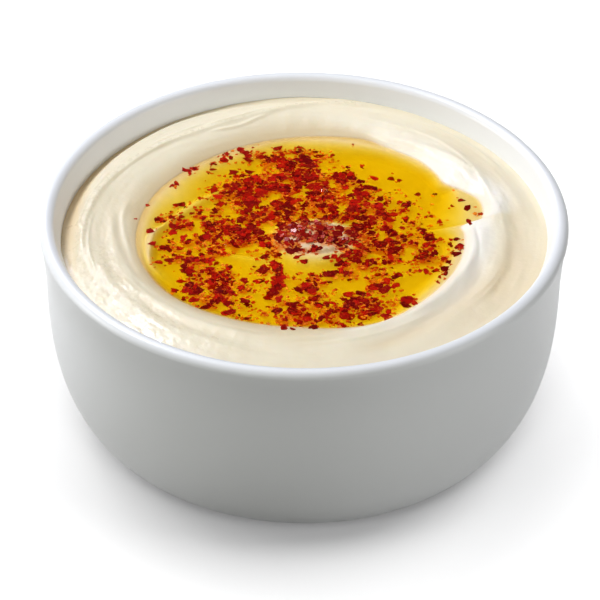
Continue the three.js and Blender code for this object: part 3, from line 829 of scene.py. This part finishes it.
def chip(draw, thickness):
    """A ragged chip about 1 wide, as (points, faces)."""
    bm = bmesh.new()
    corners = int(draw.integers(*CHIP_CORNERS))
    bmesh.ops.create_circle(bm, cap_ends=True, segments=corners, radius=0.5)
    for vert in bm.verts:
        vert.co *= draw.uniform(*CHIP_RAGGED)
    made = bmesh.ops.extrude_face_region(bm, geom=list(bm.faces))
    lifted = [g for g in made["geom"] if isinstance(g, bmesh.types.BMVert)]
    bmesh.ops.translate(bm, verts=lifted, vec=(0, 0, thickness))
    curl = draw.uniform(-CHIP_CURL, CHIP_CURL)
    for vert in lifted:
        vert.co.xy *= draw.uniform(*CHIP_TAPER)
    for vert in bm.verts:
        vert.co.z += curl * vert.co.x**2
    bmesh.ops.recalc_face_normals(bm, faces=bm.faces)
    bmesh.ops.triangulate(bm, faces=bm.faces)
    bm.verts.index_update()
    points = np.array([v.co[:] for v in bm.verts])
    faces = np.array([[v.index for v in f.verts] for f in bm.faces])
    bm.free()
    return points, faces


def scattered(count, draw):
    """Points in the pool, as thick as the density asks for."""
    tries = count * TRIES
    reach = max(radius for _, radius in POOL_EDGE)
    x, y = draw.uniform(-reach, reach, (2, tries))
    radius, angle = polar(x, y)
    keep = radius < pool_radius(angle) - EDGE_CLEARANCE
    keep &= density(x, y) > draw.uniform(0.0, PEAK_DENSITY, tries)
    return x[keep][:count], y[keep][:count]


def on_mound(count, draw):
    """Points on the mound, the fewest on its front."""
    turn = draw.uniform(0.0, math.tau, count)
    out = np.sqrt(draw.random(count))
    x = MOUND["x"] + MOUND["across"] * out * np.cos(turn)
    y = MOUND["y"] + MOUND["along"] * (FRONT_BARE + (1.0 - FRONT_BARE) * out * np.sin(turn))
    return x, y


def flake_piece(name, places, widths, thickness, tilt, material, seed):
    """Flakes at (x, y, z): each a ragged chip, turned and tilted by chance."""
    draw, chip_draw = rng(seed), rng(SEEDS["chips"])
    shapes = [chip(chip_draw, thickness) for _ in range(CHIP_SHAPES)]
    points, faces, tone, start = [], [], [], 0
    for n, place in enumerate(places):
        shape, triangles = shapes[n % len(shapes)]
        lean = [Matrix.Rotation(draw.normal(0, tilt), 3, axis) for axis in "XY"]
        turn = lean[0] @ lean[1] @ Matrix.Rotation(draw.uniform(0, math.tau), 3, "Z")
        size = np.array([widths[n], widths[n] * draw.uniform(*CHIP_NARROW), 1.0])
        points.append((shape * size) @ np.array(turn).T + place)
        faces.append(triangles + start)
        tone.append(np.full(len(shape), draw.random() ** DARK_CHIPS))
        start += len(shape)
    mesh = bpy.data.meshes.new(name)
    mesh.from_pydata(np.concatenate(points) * MM, [], np.concatenate(faces).tolist())
    attribute(mesh, "tone", np.concatenate(tone))
    obj = piece_from(mesh, name, material)
    mesh.shade_flat()
    return obj


def ground_under(x, y, width):
    """Highest hummus under a flake."""
    reach = FLAKE_FOOT * width
    steps = ((0.0, 0.0), (1.0, 0.0), (-1.0, 0.0), (0.0, 1.0), (0.0, -1.0))
    feet = [hummus_height(x + east * reach, y + north * reach) for east, north in steps]
    return np.max(feet, axis=0)


def heights_in_oil(ground, depths, thickness, draw):
    """Heights for flakes in the pool: most just under its surface, some down on the hummus."""
    count = len(ground)
    near = draw.random(count) < FLOATING_SHARE
    shallow = draw.uniform(*depths, count)
    sunk = np.where(near, shallow, draw.uniform(depths[1], DEEPEST_FLAKE, count))
    return np.maximum(OIL_LEVEL - thickness - TOP_CLEARANCE - sunk, ground + ABOVE_HUMMUS)


def floating(name, x, y, width, depths, thickness, material, seed):
    """A piece of flakes in the oil, which leaves the oil under it bright."""
    z = heights_in_oil(ground_under(x, y, width), depths, thickness, rng(seed))
    places = np.stack([x, y, z], 1)
    obj = flake_piece(name, places, width, thickness, FLAT_TILT, material, seed + 1)
    obj.visible_shadow = False


def flake_places(draw):
    x, y = scattered(FLAKES, draw)
    least, most = FLAKE_SIZES
    width = least + (most - least) * draw.random(len(x)) ** SMALL_FLAKES
    return [np.append(some, lone) for some, lone in zip((x, y, width), np.array(LONE_FLAKES).T)]


def crumb_places(draw, x, y, width):
    """One crumb beside each flake that has room for it, and more all over the pool."""
    turn = draw.uniform(0.0, math.tau, len(x))
    out = width * draw.uniform(*CRUMBS_ABOUT, len(x))
    about_x, about_y = x + out * np.cos(turn), y + out * np.sin(turn)
    kept = in_pool(about_x, about_y, SOAK_BLEND) > CRUMB_INSIDE
    more_x, more_y = scattered(CRUMBS, draw)
    return np.append(about_x[kept], more_x), np.append(about_y[kept], more_y)


def make_pool_chilli(flake_material, crumb_material):
    draw = rng(SEEDS["pool"])
    x, y, width = flake_places(draw)
    flakes = (FLAKE_DEPTHS, FLAKE_THICKNESS, flake_material, SEEDS["flakes"])
    floating("chilli_flakes", x, y, width, *flakes)
    x, y = crumb_places(draw, x, y, width)
    width = draw.uniform(*CRUMB_SIZES, len(x))
    crumbs = (CRUMB_DEPTHS, CRUMB_THICKNESS, crumb_material, SEEDS["crumbs"])
    floating("chilli_crumbs", x, y, width, *crumbs)


def make_wet_flakes(material):
    """The flakes on the mound, which stand clear of the oil."""
    draw = rng(SEEDS["mound"])
    x, y = on_mound(WET_FLAKES, draw)
    ground = np.maximum(hummus_height(x, y), OIL_LEVEL - WET_SUNK)
    z = ground + draw.uniform(0.0, WET_LIFT, len(x))
    widths = draw.uniform(*WET_SIZES, len(x))
    places = np.stack([x, y, z], 1)
    flake_piece("wet_flakes", places, widths, WET_THICKNESS, WET_TILT, material, SEEDS["wet"])


# ---- materials ----


class Nodes:
    """A short way to write a node tree."""

    def __init__(self, name):
        self.material = bpy.data.materials.new(name)
        self.material.use_nodes = True
        self.tree = self.material.node_tree
        self.shader = self.tree.nodes["Principled BSDF"]
        self.output = self.tree.nodes["Material Output"]

    def add(self, kind, inputs=None, **settings):
        node = self.tree.nodes.new("ShaderNode" + kind)
        for key, value in settings.items():
            setattr(node, key, value)
        for key, value in (inputs or {}).items():
            self.put(node.inputs[key], value)
        return node

    def put(self, socket, value):
        if isinstance(value, bpy.types.NodeSocket):
            self.tree.links.new(value, socket)
        else:
            socket.default_value = value

    def place(self):
        return self.add("TexCoord").outputs["Object"]

    def noise(self, scale, detail=3.0):
        """Noise with about this many bumps in a metre."""
        inputs = {"Scale": scale, "Detail": detail, "Vector": self.place()}
        return self.add("TexNoise", inputs).outputs["Fac"]

    def mix(self, factor, a, b, blend="MIX"):
        """A colour between a and b: the Mix node has its colour sockets at 6 and 7."""
        node = self.add("Mix", {0: factor, 6: a, 7: b}, data_type="RGBA", blend_type=blend)
        return node.outputs[2]

    def attribute(self, name):
        return self.add("Attribute", attribute_name=name).outputs["Fac"]

    def blend(self, factor, a, b):
        """A number between a and b."""
        return self.add("Mix", {0: factor, 2: a, 3: b}, data_type="FLOAT").outputs[0]

    def ramp(self, value, low, high, to_low=0.0, to_high=1.0):
        span = {"From Min": low, "From Max": high, "To Min": to_low, "To Max": to_high}
        return self.add("MapRange", {"Value": value, **span}).outputs["Result"]

    def share(self, name, most):
        """An attribute of the mesh, times the most that it may do."""
        return self.ramp(self.attribute(name), 0.0, 1.0, 0.0, most)

    def bump(self, height, strength, distance, under=None):
        node = self.add("Bump", {"Height": height, "Strength": strength, "Distance": distance})
        if under is not None:
            self.put(node.inputs["Normal"], under)
        return node.outputs["Normal"]

    def surface(self, **values):
        for key, value in values.items():
            self.put(self.shader.inputs[key.replace("_", " ")], value)


def linear(level):
    """A colour channel from 0 to 255 as it looks on a screen, made linear."""
    share = level / 255.0
    return ((share + 0.055) / 1.055) ** 2.4 if level > 10 else share / 12.92


def rgb(red, green, blue):
    return (linear(red), linear(green), linear(blue), 1.0)


GLAZE = (rgb(239, 241, 241), rgb(241, 243, 243))
CREAM = (rgb(241, 229, 197), rgb(245, 235, 206))
# Painted shade, a warm tan, for the grooves, the gap at the wall and the outer bank at the front
# right.
PAINTED_SHADE_TAN = rgb(228, 196, 144)
# Painted sheen: a whiter cream on the bank beside the pool.
PAINTED_SHEEN_CREAM = rgb(248, 243, 231)
OILED_CREAM = rgb(221, 199, 154)
STAINED = (rgb(228, 150, 62), rgb(222, 112, 44))
# Darker under the oil: partly the soaked hummus's own colour, partly painted shade for the light
# lost through the oil's surface.
SOAKED_AND_PAINTED_SHADE = rgb(217, 203, 182)
TABLE = (rgb(240, 240, 241), rgb(243, 243, 243))
CLEAR = (1.0, 1.0, 1.0, 1.0)
OIL_TINT = (0.992, 0.955, 0.13, 1.0)
OIL_DENSITY = 1000.0
OIL_IOR = 1.47
# Each kind of chilli: its darkest and lightest skin, its flecks, its roughness and its shine.
CHILLI_IN_OIL = (rgb(94, 0, 3), rgb(176, 20, 8), rgb(204, 76, 22), 0.6, 0.03)
CHILLI_CRUMB = (rgb(170, 40, 12), rgb(228, 146, 50), rgb(206, 96, 30), 0.6, 0.03)
# The flakes on the mound: a lighter, pinker skin that is partly their own colour and partly painted
# sheen.
WET_CHILLI_PAINTED_SHEEN = (rgb(148, 12, 6), rgb(212, 62, 32), rgb(230, 134, 86), 0.22, 0.32)


def porcelain():
    n = Nodes("porcelain")
    n.surface(Base_Color=n.mix(n.noise(14.0, 1.0), *GLAZE), IOR=1.5)
    n.surface(Roughness=n.ramp(n.noise(20.0, 1.0), 0.0, 1.0, 0.33, 0.39))
    n.surface(Normal=n.bump(n.noise(90.0, 1.0), 0.1, 0.0002))
    return n.material


def hummus_colour(n):
    cream = n.mix(n.noise(45.0, 4.0), *CREAM)
    # Painted shade in the grooves and along the wall.
    cream = n.mix(n.share("painted_shade", 0.85), cream, PAINTED_SHADE_TAN)
    # Painted sheen beside the pool.
    cream = n.mix(n.share("painted_sheen", 0.9), cream, PAINTED_SHEEN_CREAM)
    cream = n.mix(n.share("film", 0.9), cream, OILED_CREAM)
    orange = n.mix(n.noise(420.0, 3.0), *STAINED)
    tinted = n.mix(n.ramp(n.attribute("stain"), 0.25, 1.0, 0.0, 0.85), cream, orange)
    # Under the oil: soaked colour and painted shade together.
    return n.mix(n.attribute("soaked"), tinted, SOAKED_AND_PAINTED_SHADE, "MULTIPLY")


def hummus_paste():
    n = Nodes("hummus_paste")
    n.surface(Base_Color=hummus_colour(n), IOR=1.45)
    dry_skin = n.ramp(n.noise(130.0, 3.0), 0.35, 0.65, 0.32, 0.5)
    wet_skin = n.ramp(n.noise(700.0, 2.0), 0.3, 0.7, 0.12, 0.36)
    bare = n.blend(n.attribute("wet"), dry_skin, wet_skin)
    n.surface(Roughness=n.blend(n.attribute("soaked"), bare, 0.85))
    n.surface(Subsurface_Weight=0.2, Subsurface_Scale=0.0012)
    n.surface(Subsurface_Radius=(1.0, 0.7, 0.4))
    fine = n.bump(n.noise(1900.0, 2.0), 0.3, 0.00008)
    n.surface(Normal=n.bump(n.noise(520.0, 3.0), 0.4, 0.0002, fine))
    return n.material


def golden_oil(name):
    """Clear oil that colours what is seen through it by its depth, and lets the lamps through."""
    n = Nodes(name)
    n.surface(Base_Color=CLEAR, Roughness=0.02, IOR=OIL_IOR, Transmission_Weight=1.0)
    n.surface(Normal=n.bump(n.noise(220.0, 2.0), 0.1, 0.0002))
    lamp = n.add("LightPath").outputs["Is Shadow Ray"]
    through = n.add("BsdfTransparent").outputs[0]
    mixed = n.add("MixShader", {0: lamp, 1: n.shader.outputs[0], 2: through})
    n.put(n.output.inputs["Surface"], mixed.outputs[0])
    depth = n.add("VolumeAbsorption", {"Color": OIL_TINT, "Density": OIL_DENSITY})
    n.put(n.output.inputs["Volume"], depth.outputs[0])
    return n.material


def chilli(name, dark, light, fleck, roughness, shine):
    n = Nodes(name)
    skin = n.mix(n.attribute("tone"), dark, light)
    flecked = n.mix(n.ramp(n.noise(1500.0, 2.0), 0.58, 0.8), skin, fleck)
    colour = n.mix(n.ramp(n.noise(800.0, 3.0), 0.54, 0.74), flecked, dark)
    n.surface(Base_Color=colour, Roughness=roughness, IOR=OIL_IOR, Specular_IOR_Level=shine)
    n.surface(Normal=n.bump(n.noise(2500.0, 2.0), 0.2, 0.00006))
    return n.material


def table_top():
    n = Nodes("table_top")
    n.surface(Base_Color=n.mix(n.noise(6.0), *TABLE), Roughness=0.7)
    return n.material


# ---- stage, lights and camera ----

FLOOR_HALF = 2.5  # metres
LAMPS_AIM = Vector((0.0, 0.0, 0.05))
WHITE = (1.0, 1.0, 1.0)
# Each lamp: name, what it lights, azimuth from +X, elevation, distance and size in metres, power
# in watts and colour.
LAMPS = [
    ("key", dish, 148, 54, 1.1, 0.3, 7.2, (0.98, 0.99, 1.07)),
    ("top", dish, 100, 80, 1.3, 1.1, 2.4, (0.97, 0.99, 1.08)),
    ("front", dry, 268, 25, 1.6, 1.4, 6.8, (1.0, 1.0, 0.94)),
    ("left", dry, 182, 12, 1.2, 0.6, 6.0, (1.0, 1.0, 0.97)),
    ("sheen", dish, 118, 40, 1.2, 0.4, 3.0, (0.96, 0.98, 1.12)),
    ("far", dry, 98, 44, 1.2, 0.3, 0.5, (0.94, 0.98, 1.16)),
    ("right", dry, -25, 16, 1.2, 0.6, 3.9, WHITE),
    ("table_front", table, 270, 30, 1.2, 0.97, 10.6, WHITE),
    ("table_back", table, 105, 60, 1.2, 0.97, 7.2, WHITE),
    ("table_right", table, 0, 60, 1.2, 0.97, 9.8, WHITE),
    ("table_rear_left", table, 135, 30, 1.2, 0.97, 5.6, WHITE),
    ("table_left", table, 195, 60, 1.2, 0.97, 5.2, WHITE),
]


def make_floor():
    """A whitish floor that throws no light back on the dish."""
    bm = bmesh.new()
    bmesh.ops.create_grid(bm, x_segments=8, y_segments=8, size=FLOOR_HALF)
    mesh = mesh_from(bm, "floor")
    mesh.materials.append(table_top())
    floor = bpy.data.objects.new("floor", mesh)
    floor.visible_diffuse = False
    table.objects.link(floor)


def softbox(name, lit, azimuth, elevation, distance, size, power, tint):
    """A round soft lamp that faces the dip and lights one collection."""
    lamp = bpy.data.lights.new(name, "AREA")
    lamp.shape = "DISK"
    lamp.size = size
    lamp.energy = power
    lamp.color = tint
    obj = bpy.data.objects.new(name, lamp)
    turn, up = math.radians(azimuth), math.radians(elevation)
    level = math.cos(up)
    to_lamp = Vector((math.cos(turn) * level, math.sin(turn) * level, math.sin(up)))
    obj.location = LAMPS_AIM + to_lamp * distance
    obj.rotation_euler = to_lamp.to_track_quat("Z", "Y").to_euler()
    obj.light_linking.receiver_collection = lit
    bpy.context.scene.collection.objects.link(obj)


CAMERA_AIM = Vector((-0.82, 0.0, 32.63)) * MM
CAMERA_AWAY = 700.0 * MM
CAMERA_ELEVATION = math.radians(36.8)
CAMERA_ROLL = math.radians(0.34)
FOCAL_PIXELS = 2785.0
PICTURE_PIXELS = 600.0
SENSOR = 36.0
CLIP_START = 0.05


def make_camera():
    camera = bpy.data.objects.new("camera", bpy.data.cameras.new("camera"))
    camera.data.sensor_width = SENSOR
    camera.data.lens = FOCAL_PIXELS / PICTURE_PIXELS * SENSOR
    camera.data.clip_start = CLIP_START
    back = Vector((0.0, -math.cos(CAMERA_ELEVATION), math.sin(CAMERA_ELEVATION)))
    upright = Matrix.Rotation(math.pi / 2 - CAMERA_ELEVATION, 4, "X")
    roll = Matrix.Rotation(CAMERA_ROLL, 4, "Z")
    camera.matrix_world = Matrix.Translation(CAMERA_AIM + back * CAMERA_AWAY) @ upright @ roll
    bpy.context.scene.collection.objects.link(camera)
    bpy.context.scene.camera = camera


make_camera()
for lamp_row in LAMPS:
    softbox(*lamp_row)
make_floor()
make_bowl(porcelain())
make_hummus(hummus_paste())
make_oil(golden_oil("golden_oil"))
make_bubbles(golden_oil("bubble_oil"))
make_pool_chilli(chilli("chilli_in_oil", *CHILLI_IN_OIL), chilli("chilli_crumb", *CHILLI_CRUMB))
make_wet_flakes(chilli("wet_chilli", *WET_CHILLI_PAINTED_SHEEN))
bpy.context.scene.view_settings.view_transform = "Standard"
